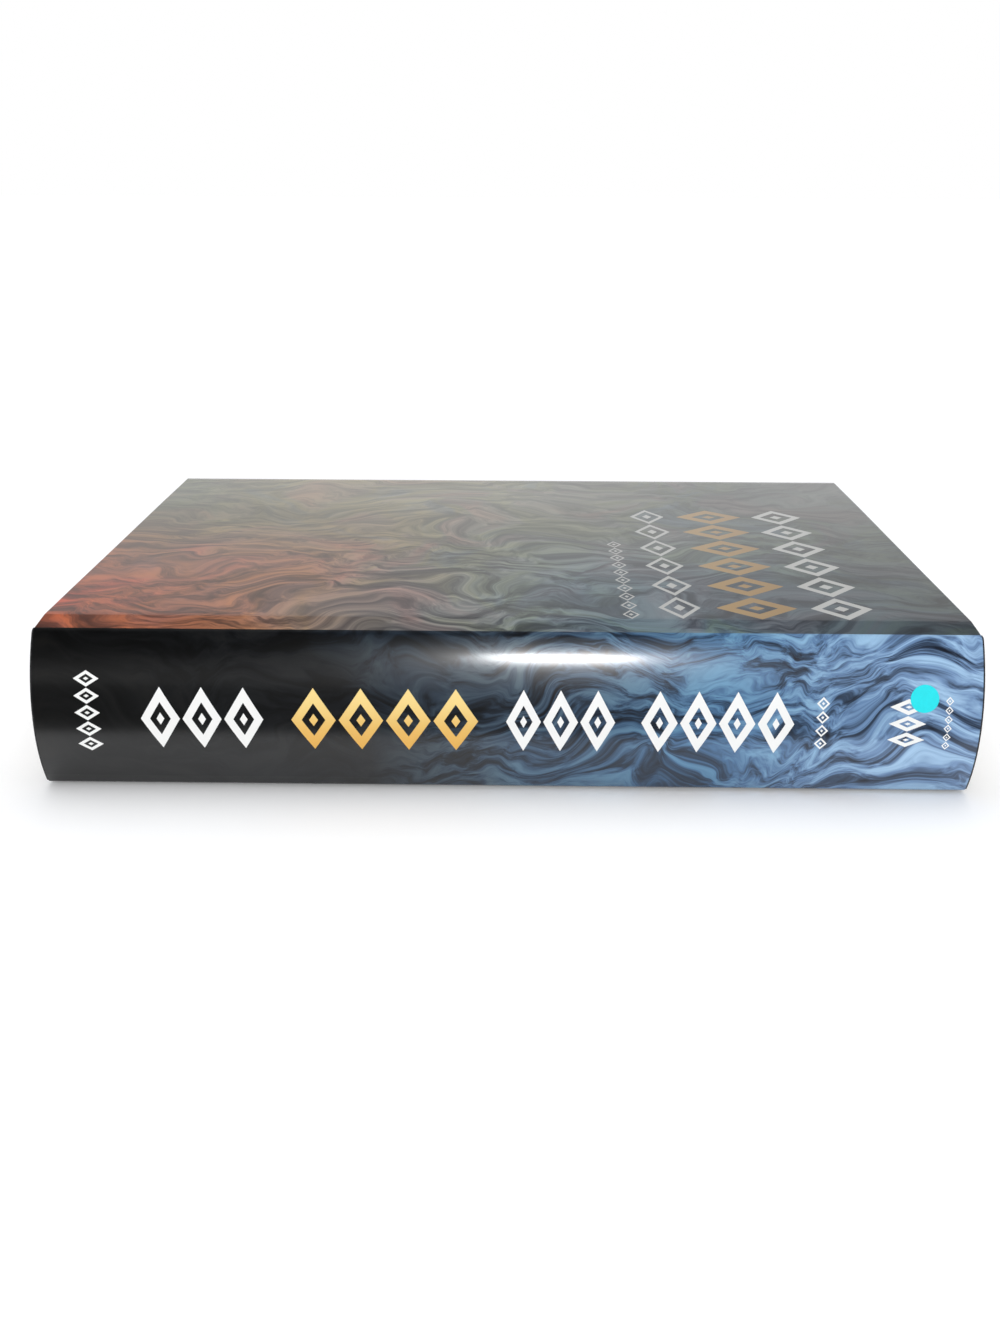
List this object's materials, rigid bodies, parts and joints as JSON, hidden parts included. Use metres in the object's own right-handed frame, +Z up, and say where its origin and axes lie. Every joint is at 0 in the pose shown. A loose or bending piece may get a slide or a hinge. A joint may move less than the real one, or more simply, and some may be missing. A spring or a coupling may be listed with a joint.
{
  "type": "hardback book",
  "caption": "Thick case-bound hardback book with a glossy printed dust jacket, lying on its back cover; both covers open on hinges.",
  "frame": {"origin": "on the table, at the middle of the bottom of the book's box", "axes": "+X along the book's height from head to tail, -Y out of the spine, +Z up through the front cover"},
  "size_m": [0.236, 0.1627, 0.044],
  "materials": {
    "jacket": "gloss",
    "case_cloth": "matte",
    "board": "matte",
    "endpaper": "matte",
    "leaves": "matte",
    "headband": "satin",
    "mull": "matte",
    "liner": "matte",
    "sticker": "satin"
  },
  "bodies": {
    "book_block": {"text_block": "leaves", "front_flyleaf": "endpaper", "back_flyleaf": "endpaper", "headband": "headband", "tailband": "headband", "mull": "mull", "spine_liner": "liner", "spine_inlay": "board", "case_cloth_spine": "case_cloth", "jacket_spine": "jacket", "dot_sticker": "sticker"},
    "front_cover": {"front_board": "board", "case_cloth_front": "case_cloth", "front_pastedown": "endpaper", "jacket_front": "jacket"},
    "back_cover": {"back_board": "board", "case_cloth_back": "case_cloth", "back_pastedown": "endpaper", "jacket_back": "jacket"}
  },
  "joints": [
    {"name": "front_cover_hinge", "type": "hinge", "parent": "book_block", "child": "front_cover", "pos_m": [0, -0.07482, 0.04322], "axis": [1, 0, 0], "range_deg": [0, 175]},
    {"name": "back_cover_hinge", "type": "hinge", "parent": "book_block", "child": "back_cover", "pos_m": [0, -0.07482, 0.00078], "axis": [-1, 0, 0], "range_deg": [0, 175]}
  ]
}
